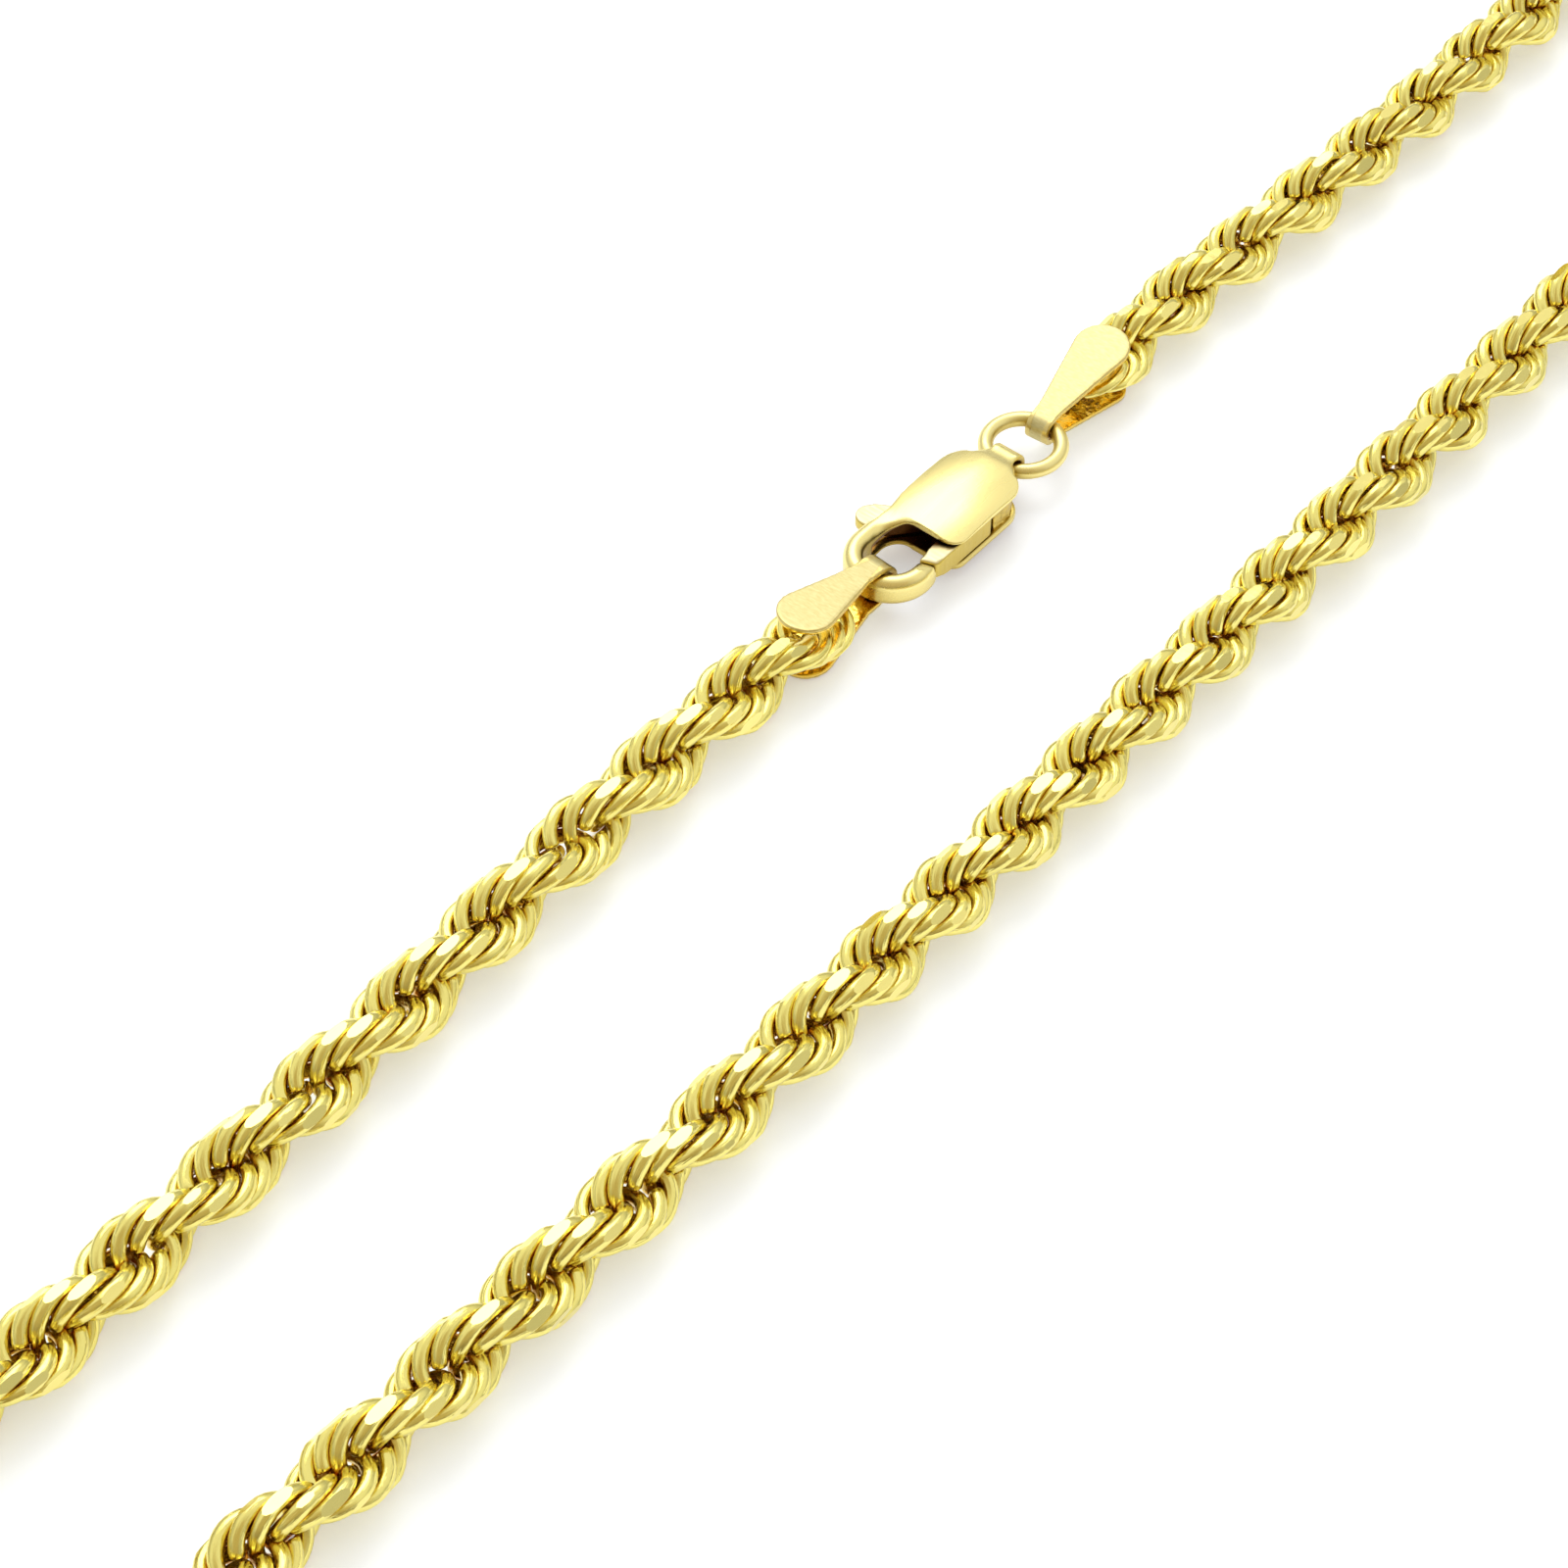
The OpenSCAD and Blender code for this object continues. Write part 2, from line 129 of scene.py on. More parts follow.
def loose(single, bunched):
    """How far each link has settled out of its place: by itself, and along with a few neighbours."""
    drift = np.convolve(slack.standard_normal(link_count + 4), np.ones(5) / math.sqrt(5), "valid")
    return single * slack.standard_normal(link_count) + bunched * drift


link_turns = link_turns + math.radians(1) * loose(single=1.3, bunched=2.2)
link_places = link_places + mm * loose(single=0.045, bunched=0.10)

# The diamond tool's flats lie along the rope, at eight angles round it. Its cuts vary a little in depth
# from one stroke to the next, least at the top and the bottom. The tool leans a little too, in degrees: from
# stroke to stroke, from link to link, and along the rope.
flat_r = 2 * mm
flats = 8
level_flats = (flats // 4, flats * 3 // 4)
level_depth = (-0.02 * mm, 0.02 * mm)
other_depth = (-0.03 * mm, 0.11 * mm)
least_cut = 0.02 * mm
stroke_lean = 4.0
link_lean = 1.5
lengthwise_lean = 2.0
stroke = 3.2 * mm
strokes = int(rope_length / stroke) + 2
cuts = random.Random(8)
flat_lean = np.array([[cuts.gauss(0, stroke_lean) for _ in range(flats)] for _ in range(strokes)])
flat_place = np.array([[flat_r + cuts.uniform(*(level_depth if i in level_flats else other_depth))
                        for i in range(flats)] for _ in range(strokes)])


def cut_link(ring_turn, pitch, gap_at_front, stroke_no):
    """One link's wire in the rope's own directions (along it, out to the first lobe, and across), with
    the tool's flats cut off it. Returns its points and faces, which faces are flats, and its sharp edges."""
    u = np.linspace(gap_half, 2 * math.pi - gap_half, wire_steps) + (0 if gap_at_front else math.pi)
    u = np.concatenate([u[:1], u, u[-1:]])
    half_l = 2 * pitch
    middle = np.stack([half_l * np.cos(u), link_r * np.sin(u), 0 * u], -1)
    out = np.stack([link_r * np.cos(u), half_l * np.sin(u), 0 * u], -1)
    out /= np.linalg.norm(out, axis=1, keepdims=True)
    v = 2 * math.pi * np.arange(wire_sides) / wire_sides
    r = np.full(len(u), wire_r)
    r[[0, -1]] = end_r
    step = np.linalg.norm(middle[2] - middle[1])
    middle[[1, -2]] += end_bevel * (middle[[2, -3]] - middle[[1, -2]]) / step
    points = (middle[:, None] + r[:, None, None] * (
        np.cos(v)[None, :, None] * out[:, None] + np.sin(v)[None, :, None] * np.array([0, 0, 1])))
    bm = bmesh.new()
    rows = [[bm.verts.new(p) for p in row] for row in points]
    for a, b in zip(rows, rows[1:]):
        for k in range(wire_sides):
            n = (k + 1) % wire_sides
            bm.faces.new((a[k], b[k], b[n], a[n]))
    bm.faces.new(rows[0])
    bm.faces.new(rows[-1][::-1])
    for f in bm.faces:
        f.smooth = True
    for i in range(flats):
        lean = flat_lean[stroke_no][i] + cuts.gauss(0, link_lean)
        ahead = math.radians(cuts.gauss(0, lengthwise_lean))
        turn = 2 * math.pi * i / flats + math.radians(lean) - ring_turn
        reach = abs(math.cos(turn)) * link_r + wire_r
        place = flat_place[stroke_no][i]
        if reach < place + least_cut:
            continue
        normal = Vector((math.sin(ahead), math.cos(turn), math.sin(turn))).normalized()
        cut = bmesh.ops.bisect_plane(bm, geom=bm.verts[:] + bm.edges[:] + bm.faces[:], dist=1e-7,
                                     plane_co=normal * place, plane_no=normal, clear_outer=True)
        rim = [e for e in cut["geom_cut"] if isinstance(e, bmesh.types.BMEdge)]
        for e in rim:
            e.smooth = False
        for f in bmesh.ops.edgeloop_fill(bm, edges=rim)["faces"]:
            f.material_index = 1
            f.smooth = False
    bm.verts.index_update()
    points = np.array([v.co for v in bm.verts])
    faces = [[v.index for v in f.verts] for f in bm.faces]
    cut_faces = [f.material_index for f in bm.faces]
    sharp = [(e.verts[0].index, e.verts[1].index) for e in bm.edges if not e.smooth]
    bm.free()
    return points, faces, cut_faces, sharp


# The plates of the two end tags hold the rope's ends between them, so they come in here: how long a tag
# is from the wire in its fold, the fold's inner radius, and how far the rope's end stays off that wire.
# From a little before the plates' ends on, the rope swells back to its full height.
hook_tag = dict(length=6.9 * mm, bend=1.0 * mm, setback=2.4 * mm)
ring_tag = dict(length=7.6 * mm, bend=0.55 * mm, setback=3.2 * mm)
sheet = 0.35 * mm
solder = 0.05 * mm
swells_before = 0.2 * mm
swell_slope = 0.35
height_limit = flat_r + 0.02 * mm


def plate_slope(tag):
    """The angle that a tag's plates open by, from its middle plane."""
    return math.atan2(rope_height, tag["length"]) - math.asin(
        (tag["bend"] + sheet) / math.hypot(tag["length"], rope_height))


def plate_height(tag, from_wire):
    """How far the inner faces of a tag's plates are from its middle plane, that far from the wire."""
    slope = plate_slope(tag)
    return tag["bend"] / math.cos(slope) + from_wire * math.tan(slope)


def room_in(tag, from_wire):
    """Half the height that a tag leaves the rope, that far from the wire in its fold."""
    swells_at = tag["length"] - swells_before
    return (plate_height(tag, np.minimum(from_wire, swells_at)) - solder
            + np.maximum(0, from_wire - swells_at) * swell_slope)


def laid(points, number):
    """A link's points in their place along the route, pressed flat where a tag holds them."""
    c, s = math.cos(link_turns[number]), math.sin(link_turns[number])
    along = link_places[number] + points[:, 0]
    sideways = c * points[:, 1] - s * points[:, 2]
    upwards = np.clip(s * points[:, 1] + c * points[:, 2], -height_limit, height_limit)
    room = np.minimum(room_in(hook_tag, along + hook_tag["setback"]),
                      room_in(ring_tag, rope_length - along + ring_tag["setback"]))
    upwards *= np.minimum(1, room / flat_r)
    middle, left = rope_at(along)
    return np.column_stack([middle + left * sideways[:, None], rope_height + upwards])


def along_wire(points, number):
    """Each point's place round the wire and along it, which the lines left by the die follow."""
    as_circle = points[:, 0] * link_r / (2 * pitches[number])
    round_ring = np.arctan2(points[:, 1], as_circle)
    round_wire = np.arctan2(points[:, 2], np.hypot(points[:, 1], as_circle) - link_r)
    # The lines are long, and each link's start further on in the pattern, so that no two look alike
    drawn_out = 0.5
    next_link = 1.7
    place = drawn_out * round_ring + next_link * number
    return np.column_stack([np.cos(round_wire), np.sin(round_wire), place])


def lay_links(name, numbers):
    """One stretch of the rope as a single mesh, each of its links in place along the route."""
    all_points, all_faces, all_cuts, all_sharp, die_places = [], [], [], [], []
    start = 0
    for k in numbers:
        points, faces, cut_faces, sharp = cut_link(
            link_turns[k], pitches[k], gap_at_front=k % 2 == 0, stroke_no=int(link_places[k] / stroke))
        all_points.append(laid(points, k))
        all_faces += [[i + start for i in f] for f in faces]
        all_cuts += cut_faces
        all_sharp += [(a + start, b + start) for a, b in sharp]
        die_places.append(along_wire(points, k))
        start += len(points)
    mesh = bpy.data.meshes.new(name)
    mesh.from_pydata(np.concatenate(all_points).tolist(), [], all_faces)
    cut_faces = np.array(all_cuts, bool)
    mesh.polygons.foreach_set("use_smooth", ~cut_faces)
    mesh.polygons.foreach_set("material_index", cut_faces.astype(np.int32))
    # An edge is told by one number, made of its two points' numbers
    edges = np.empty(2 * len(mesh.edges), np.int32)
    mesh.edges.foreach_get("vertices", edges)
    edges = edges.reshape(-1, 2).astype(np.int64)
    wanted = np.array([min(e) * start + max(e) for e in all_sharp], np.int64)
    mesh.edges.foreach_set("use_edge_sharp", np.isin(edges.min(1) * start + edges.max(1), wanted))
    drawn = mesh.attributes.new("drawn", "FLOAT_VECTOR", "POINT")
    drawn.data.foreach_set("vector", np.concatenate(die_places).ravel())
    piece = bpy.data.objects.new(name, mesh)
    bpy.context.scene.collection.objects.link(piece)
    return piece


def gold(name, colour, roughness):
    """A material of solid gold, its node tree and its shader, for a piece's own finish to be added to."""
    material = bpy.data.materials.new(name)
    material.use_nodes = True
    shader = material.node_tree.nodes["Principled BSDF"]
    shader.inputs["Base Color"].default_value = (*colour, 1)
    shader.inputs["Metallic"].default_value = 1
    shader.inputs["Roughness"].default_value = roughness
    return material, material.node_tree, shader


def feed(tree, value, socket):
    """Sets a socket to a number or a colour, or links it to the socket that gives one."""
    if isinstance(value, bpy.types.NodeSocket):
        tree.links.new(value, socket)
    elif isinstance(value, tuple):
        socket.default_value = (*value, 1)
    else:
        socket.default_value = value


def measure(tree, name, output="Fac"):
    """A measure that is marked on the points of a piece."""
    marked = tree.nodes.new("ShaderNodeAttribute")
    marked.attribute_name = name
    return marked.outputs[output]


def noise(tree, scale, detail=2.0, stretch=(1, 1, 1), turn=(0, 0, 0), place=None):
    """A noise pattern fixed to the piece, or to a measure on it, drawn out along some directions."""
    if place is None:
        place = tree.nodes.new("ShaderNodeTexCoord").outputs["Object"]
    lay = tree.nodes.new("ShaderNodeMapping")
    lay.inputs["Scale"].default_value = stretch
    lay.inputs["Rotation"].default_value = turn
    pattern = tree.nodes.new("ShaderNodeTexNoise")
    pattern.inputs["Scale"].default_value = scale
    pattern.inputs["Detail"].default_value = detail
    tree.links.new(place, lay.inputs["Vector"])
    tree.links.new(lay.outputs["Vector"], pattern.inputs["Vector"])
    return pattern.outputs["Fac"]


def ramp(tree, value, start, end, low=0, high=1, easing="LINEAR"):
    """Turns a value that runs from start to end into one that runs from low to high."""
    span = tree.nodes.new("ShaderNodeMapRange")
    span.interpolation_type = easing
    for limit, number in (("From Min", start), ("From Max", end), ("To Min", low), ("To Max", high)):
        span.inputs[limit].default_value = number
    tree.links.new(value, span.inputs["Value"])
    return span.outputs["Result"]


def work_out(tree, operation, *values, clamp=False):
    """A sum of numbers and sockets."""
    result = tree.nodes.new("ShaderNodeMath")
    result.operation = operation
    result.use_clamp = clamp
    for value, socket in zip(values, result.inputs):
        feed(tree, value, socket)
    return result.outputs["Value"]


def mix_tones(tree, share, first_tone, second_tone):
    """A colour between two others, by the share of the second."""
    mix = tree.nodes.new("ShaderNodeMix")
    mix.data_type = "RGBA"
    feed(tree, share, mix.inputs["Factor"])
    feed(tree, first_tone, mix.inputs["A"])
    feed(tree, second_tone, mix.inputs["B"])
    return mix.outputs["Result"]


def vary(tree, pattern, low, high, socket):
    """Sets a socket between two values by a noise pattern, most of which lies from 0.3 to 0.7."""
    feed(tree, ramp(tree, pattern, 0.3, 0.7, low, high), socket)


def tarnish_and_shade(tree, shader, clean, deep, reach, low, high, inner=None, side=None):
    """Paints the gold of recesses, where little light comes in, a deeper tone than the open faces: painted
    shade, along with the duller gold that no polishing tool reaches. It is all deep where less than the low
    share of what is round a place is open, and clean above the high share. inner names the measure of how
    far a place is inside the piece, if it has one, which is painted deep too, as shade, and side is a duller
    tone painted on half hidden faces as their shade."""
    around = tree.nodes.new("ShaderNodeAmbientOcclusion")
    around.inputs["Distance"].default_value = reach
    around.samples = 6
    open_share = around.outputs["AO"]
    # Half hidden faces are painted the duller side tone: painted shade
    if side:
        half_hidden = 0.4
        wide_open = 0.92
        side_unshaded = ramp(tree, open_share, half_hidden, wide_open, easing="SMOOTHSTEP")
        clean = mix_tones(tree, side_unshaded, side, clean)
    # Recesses, and the inside where it is marked, are painted the deep tone: painted shade
    polished = ramp(tree, open_share, low, high, easing="SMOOTHSTEP")
    if inner:
        polished = work_out(tree, "SUBTRACT", polished, measure(tree, inner), clamp=True)
    feed(tree, mix_tones(tree, polished, deep, clean), shader.inputs["Base Color"])


def raise_by(tree, pattern, height, shader):
    """Puts a pattern on the surface as relief of that height."""
    relief = tree.nodes.new("ShaderNodeBump")
    relief.inputs["Strength"].default_value = 1
    relief.inputs["Distance"].default_value = height
    tree.links.new(pattern, relief.inputs["Height"])
    tree.links.new(relief.outputs["Normal"], shader.inputs["Normal"])


# The drawn wire keeps fine lines from the die along it. It is polished by tumbling, which doesn't reach
# down into the grooves between the lobes. There it is painted a deeper, redder gold: the gold that the
# tumbling leaves dull, and painted shade where the lobes hide the light. The tool's flats are mirror bright,
# with fine marks across them.
yellow_gold = (0.90, 0.785, 0.23)
groove_shade_gold = (0.60, 0.235, 0.012)
flat_gold = (0.95, 0.82, 0.26)
wire_gold, tree, shader = gold("wire_gold", yellow_gold, 0.2)
# The grooves between the lobes are painted the deeper gold, as painted shade
tarnish_and_shade(tree, shader, yellow_gold, groove_shade_gold, reach=0.8 * mm, low=0.05, high=0.55)
die_lines = noise(tree, 2.4, detail=3, place=measure(tree, "drawn", "Vector"))
vary(tree, die_lines, low=0.07, high=0.26, socket=shader.inputs["Roughness"])
raise_by(tree, die_lines, 0.045 * mm, shader)

cut_gold, tree, shader = gold("cut_gold", flat_gold, 0.1)
vary(tree, noise(tree, 1500), low=0.07, high=0.2, socket=shader.inputs["Roughness"])
raise_by(tree, noise(tree, 6000, stretch=(1, 0.1, 0.1)), 0.002 * mm, shader)

# The rope's two halves meet at the middle of the strand opposite the clasp. Each is laid in three pieces.
pieces_a_half = 3
far_strand = (rope_line[:, 1] < 0) & (abs(rope_line[:, 0]) < 60 * mm)
meet = int(np.searchsorted(
    link_places, np.interp(0, rope_line[far_strand, 0], along_line[far_strand])))
for side, numbers in (("left", np.arange(meet)), ("right", np.arange(meet, link_count))):
    for part, group in enumerate(np.array_split(numbers, pieces_a_half)):
        stretch = lay_links(f"rope_links_{side}_{part + 1}", group)
        stretch.data.materials.append(wire_gold)
        stretch.data.materials.append(cut_gold)
        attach(stretch, "necklace")
        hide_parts(f"rope_chain_{side}")


# The end tags are strips of gold sheet, folded round the hook and round the jump ring, with a teardrop
# paddle at each end that is soldered above and below the rope. They are frosted, with a polished rim.
def places_in(mesh, what="co"):
    """The places of a mesh's points, or their normals, as rows of x, y and z."""
    values = np.empty(3 * len(mesh.vertices))
    mesh.vertices.foreach_get(what, values)
    return values.reshape(-1, 3)


def mark(mesh, name, values):
    """Marks a measure on the points of a mesh, for its material to read."""
    mesh.attributes.new(name, "FLOAT", "POINT").data.foreach_set("value", values)


def shade_smooth(mesh):
    """Shades all faces of a mesh as one smooth skin."""
    mesh.polygons.foreach_set("use_smooth", np.ones(len(mesh.polygons), bool))


def settle(piece):
    """Makes what a piece's modifiers give its own mesh."""
    seen = piece.evaluated_get(bpy.context.evaluated_depsgraph_get())
    piece.data = bpy.data.meshes.new_from_object(seen)
    piece.modifiers.clear()


def melted(mesh, points, share, rounds=40):
    """The points after rounds in which each moves towards the middle of its neighbours by its share."""
    edges = np.empty(2 * len(mesh.edges), np.int32)
    mesh.edges.foreach_get("vertices", edges)
    a, b = edges.reshape(-1, 2).T
    neighbours = np.bincount(a, minlength=len(points)) + np.bincount(b, minlength=len(points))
    for _ in range(rounds):
        total = np.stack([np.bincount(a, points[b, i], len(points))
                          + np.bincount(b, points[a, i], len(points)) for i in range(3)], -1)
        points = points + share[:, None] * (total / neighbours[:, None] - points)
    return points


def eased_copy(name, node, voxel, rounds, true_up=None, melt=None, added=(), pocket=None):
    """A CAD node's shape with its edges eased, as pressed and tumbled metal has them. added are solids
    that are worked into it, and pocket is one that is cut from it. true_up moves points onto a form's
    exact surface, and melt gives how far each point is worked into its neighbours."""
    piece = bpy.data.objects.new(name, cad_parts[node].data.copy())
    piece.data.materials.clear()
    bpy.context.scene.collection.objects.link(piece)
    if pocket:
        cut = piece.modifiers.new("cut", "BOOLEAN")
        cut.operation = "DIFFERENCE"
        cut.object = pocket
        settle(piece)
        bpy.data.objects.remove(pocket)
    if added:
        whole = bmesh.new()
        whole.from_mesh(piece.data)
        for solid in added:
            whole.from_mesh(solid)
            bpy.data.meshes.remove(solid)
        whole.to_mesh(piece.data)
        whole.free()
    remesh = piece.modifiers.new("remesh", "REMESH")
    remesh.mode = "VOXEL"
    remesh.voxel_size = voxel
    ease = piece.modifiers.new("ease", "SMOOTH")
    ease.factor = 0.5
    ease.iterations = rounds
    settle(piece)
    points = places_in(piece.data)
    if true_up:
        points = true_up(points)
    if melt:
        points = melted(piece.data, points, melt(points))
    piece.data.vertices.foreach_set("co", points.ravel())
    shade_smooth(piece.data)
    piece.data.update()
    return piece


def pull_onto(points, off, direction, reach=0.03 * mm):
    """Moves the points that lie within reach of a surface onto it: off is how far each lies inside it."""
    near = np.clip((reach - abs(off)) / (reach / 2), 0, 1)
    return points + (near * off)[:, None] * direction


# The frost is laid on in strokes across the tag, some of them a little paler than others. Hammering has
# left the plates' inner faces wavy and bright, so they throw broken lights on each other. These inner faces
# are painted a warmer, orange gold, a painted reflection of the gold round them, and the tags' recesses are
# painted darker, as painted shade.
satin_gold = (0.86, 0.76, 0.33)
dull_frost = (0.56, 0.475, 0.20)
pale_frost = (0.66, 0.58, 0.28)
rim_and_reflection_gold = (0.92, 0.64, 0.12)
tag_shade = (0.36, 0.14, 0.015)
frost_roughness = 0.42
rim_roughness = 0.1
dents_to_grain = 30
tag_satin, tree, shader = gold("tag_satin", satin_gold, 0.4)
polish_and_reflection = measure(tree, "polished")
feed(tree, ramp(tree, polish_and_reflection, 0, 1, frost_roughness, rim_roughness), shader.inputs["Roughness"])
frost_strokes = noise(tree, 9000, detail=3, stretch=(1, 0.3, 1), turn=(0, 0, 0.5))
frosted = mix_tones(tree, ramp(tree, frost_strokes, 0.3, 0.7), dull_frost, pale_frost)
# The tags' recesses are painted the deep tone, as painted shade
tarnish_and_shade(tree, shader, mix_tones(tree, polish_and_reflection, frosted, rim_and_reflection_gold), tag_shade, reach=0.8 * mm, low=0.02,
        high=0.35)
dents = work_out(tree, "MULTIPLY", noise(tree, 1100), polish_and_reflection)
grain = work_out(tree, "MULTIPLY_ADD", dents, dents_to_grain, noise(tree, 14000, detail=3))
raise_by(tree, grain, 0.0035 * mm, shader)

# Where each tag's fold is and which way the tag runs from it, and the outline that both have
hook_tag.update(fold=np.array((-4.9923, 8.5844)) * mm, heading=math.radians(177))
ring_tag.update(fold=np.array((10.9177, 8.8689)) * mm, heading=math.radians(4.4))
paddle_r = 1.65 * mm
neck_half = 0.725 * mm
rim_width = 0.2 * mm
rim_depth = 0.07 * mm
rim_polish = 0.3             # of the inner faces' brightness
face_blend = 0.08 * mm       # from the bright inner faces to the frosted outer ones


def in_tag(tag, points):
    """The points as lengths from the tag's fold: along the tag, across it and above its middle."""
    c, s = math.cos(tag["heading"]), math.sin(tag["heading"])
    x, y = points[:, 0] - tag["fold"][0], points[:, 1] - tag["fold"][1]
    return np.stack([c * x + s * y, c * y - s * x, points[:, 2] - rope_height])


def from_edge(tag, points):
    """How far the points lie inside the tag's teardrop outline, seen from above."""
    along, across, _ = in_tag(tag, points)
    paddle = tag["length"] - paddle_r
    reach = math.hypot(paddle - tag["bend"], neck_half)
    lean = math.asin(paddle_r / reach) - math.atan(neck_half / (paddle - tag["bend"]))
    taper = ((neck_half - abs(across)) * math.cos(lean) + (along - tag["bend"]) * math.sin(lean))
    round_end = paddle_r - np.hypot(along - paddle, across)
    return np.where(along > paddle - paddle_r * math.sin(lean), round_end, np.maximum(taper, round_end))


def true_tag(tag, points):
    """Trues up a tag's fold, plates and outline, and presses down the rim of the plates' outer faces."""
    along, _, up = in_tag(tag, points)
    c, s = math.cos(tag["heading"]), math.sin(tag["heading"])
    far = np.hypot(along, up)
    out = np.stack([c * along, s * along, up], -1) / far[:, None]
    for fold_r in (tag["bend"], tag["bend"] + sheet):
        points = pull_onto(points, (fold_r - far) * (along < 0), out)
    on_plate = along > tag["bend"]
    inner = plate_height(tag, along)
    away = np.sign(up)[:, None] * np.array([0, 0, 1])
    for level in (0, sheet / math.cos(plate_slope(tag))):
        points = pull_onto(points, (inner + level - abs(up)) * on_plate, away)
    nudge = 0.01 * mm
    outwards = np.stack([from_edge(tag, points - way) - from_edge(tag, points + way)
                         for way in nudge * np.eye(3)], -1) / (2 * nudge)
    points = pull_onto(points, from_edge(tag, points) * on_plate, outwards)
    rim = np.clip(1 - from_edge(tag, points) / rim_width, 0, 1) ** 2
    outer_face = np.clip((abs(up) - inner) / sheet, 0, 1) * np.clip(along / tag["bend"] - 1, 0, 1)
    points[:, 2] -= np.sign(up) * rim * rim_depth * outer_face
    return points


for side, made in (("hook", hook_tag), ("ring", ring_tag)):
    tag = eased_copy(f"{side}_end_tag_sheet", f"{side}_end_tag", voxel=0.05 * mm, rounds=9,
                     true_up=lambda points: true_tag(made, points))
    places = places_in(tag.data)
    along, _, up = in_tag(made, places)
    sheet_middle = plate_height(made, along) + sheet / 2
    # The plates' inner faces get the warmer gold, a painted reflection
    inner_face = np.clip((sheet_middle - abs(up)) / face_blend + 0.5, 0, 1) * (along > 0)
    # The rim is bright over its outer third and fades over the next
    rim = np.clip(2 - 3 * from_edge(made, places) / rim_width, 0, 1)
    mark(tag.data, "polished", np.maximum(inner_face, rim_polish * rim))
    tag.data.materials.append(tag_satin)
    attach(tag, "necklace")
    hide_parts(f"{side}_end_tag")


# The jump ring is a closed ring of round wire, brightly polished. It holds the second tag to the clasp's
# tail strap, and both hang on it loosely.
ring_low, ring_high = (np.array(corner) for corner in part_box("jump_ring"))
ring_middle = (ring_low + ring_high) / 2
ring_wire_r = (ring_high[2] - ring_low[2]) / 2
bpy.ops.mesh.primitive_torus_add(
    major_radius=(ring_high[0] - ring_low[0]) / 2 - ring_wire_r, minor_radius=ring_wire_r,
    major_segments=96, minor_segments=28)
ring = bpy.context.object
ring.name = "jump_ring_wire"
ring.data.transform(Matrix.Translation(ring_middle))
shade_smooth(ring.data)
# The ring's sides are painted a duller gold and its hidden faces a deep one, where the table and tags shade
# them: painted shade
ring_gold = (0.93, 0.80, 0.33)
ring_shaded_side = (0.66, 0.51, 0.13)
ring_shade = (0.25, 0.10, 0.01)
ring_polish, tree, shader = gold("ring_polish", ring_gold, 0.25)
tarnish_and_shade(tree, shader, ring_gold, ring_shade, reach=4 * mm, low=0.05, high=0.35, side=ring_shaded_side)
vary(tree, noise(tree, 1200), low=0.26, high=0.4, socket=shader.inputs["Roughness"])
raise_by(tree, noise(tree, 3000), 0.003 * mm, shader)
ring.data.materials.append(ring_polish)
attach(ring, "necklace")
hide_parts("jump_ring")


# The clasp's body is stamped from gold sheet: a domed upper shell that runs on into the solid hook, a
# flatter lower shell, a strap folded round the jump ring, and a rivet through both shells.
# The clasp's half hidden sides are painted a duller olive, and its recesses a near black: painted shade
clasp_gold = (0.95, 0.81, 0.32)
clasp_shaded_side = (0.56, 0.41, 0.07)
clasp_shade = (0.24, 0.11, 0.02)
clasp_polish, tree, shader = gold("clasp_polish", clasp_gold, 0.22)
tarnish_and_shade(tree, shader, clasp_gold, clasp_shade, reach=4 * mm, low=0.08, high=0.4, inner="inside",
        side=clasp_shaded_side)
vary(tree, noise(tree, 2000, detail=1, stretch=(0.15, 1, 1)), low=0.25, high=0.31,
     socket=shader.inputs["Roughness"])
raise_by(tree, noise(tree, 2500), 0.004 * mm, shader)

# The dome's crown, and the radii that it is pressed to along the clasp and across it
crown = np.array([2.725, 8.58, 3.509]) * mm
dome_along = 20 * mm
dome_across = 7.5 * mm
shell_thick = 0.4 * mm
# The middle of the hook's bend, the bend's radius, and the hook's thickness and the flats on its sides
hook_middle = np.array([-3.1, 8.75]) * mm
hook_r = 2.08 * mm
hook_thick = 1.15 * mm
hook_flat = 0.325 * mm


def true_clasp(points):
    """Trues up the clasp's dome, inside and out, and its hook's rounds."""
    for shell_r in (dome_across, dome_across - shell_thick):
        x, y, z = (points - crown).T
        z = z + dome_along
        reach = np.hypot(x, z)
        rise = reach - (dome_along - dome_across)
        far = np.hypot(rise, y)
        out = np.stack([rise * x / reach, y, rise * z / reach], -1) / far[:, None]
        points = pull_onto(points, shell_r - far, out)
    x, y = points[:, 0] - hook_middle[0], points[:, 1] - hook_middle[1]
    x = np.where((x > 0) & (y >= 0), 0, x)      # the hook's arm runs straight on
    length = np.hypot(x, y)
    side, up = length - hook_r, points[:, 2] - rope_height
    up = up - np.clip(up, -hook_flat, hook_flat)
    far = np.hypot(side, up) + 1e-9
    out = np.stack([side * x / length, side * y / length, up], -1) / far[:, None]
    return pull_onto(points, hook_thick / 2 - far, out)


# Where the clasp's forms are worked into each other: the roots of the arm and the tail, and the hook's tip.
# Each row has a place along the clasp, how far it reaches and the length that it fades over, the same
# across the clasp, and the height that it starts at, all in millimetres.
melted_places = (((-1.1, 1.69, 1.3), (12.2, 3.0, 0.5), 0),
                 ((6.35, 0.75, 0.5), (8.6, 1.9, 0.3), 2.4),
                 ((-2.6, 0.56, 0.4), (5.4, 2.0, 0.3), 2.2))


def near_to(value, place, reach, fade):
    """1 near a place, and 0 from its reach on."""
    return np.clip((reach - abs(value - place)) / fade, 0, 1)


def melt_clasp(points):
    """How far each point of the clasp is worked into its neighbours."""
    x, y, z = points.T / mm
    return np.max([near_to(x, *along) * near_to(y, *across) * (z > low)
                   for along, across, low in melted_places], axis=0)


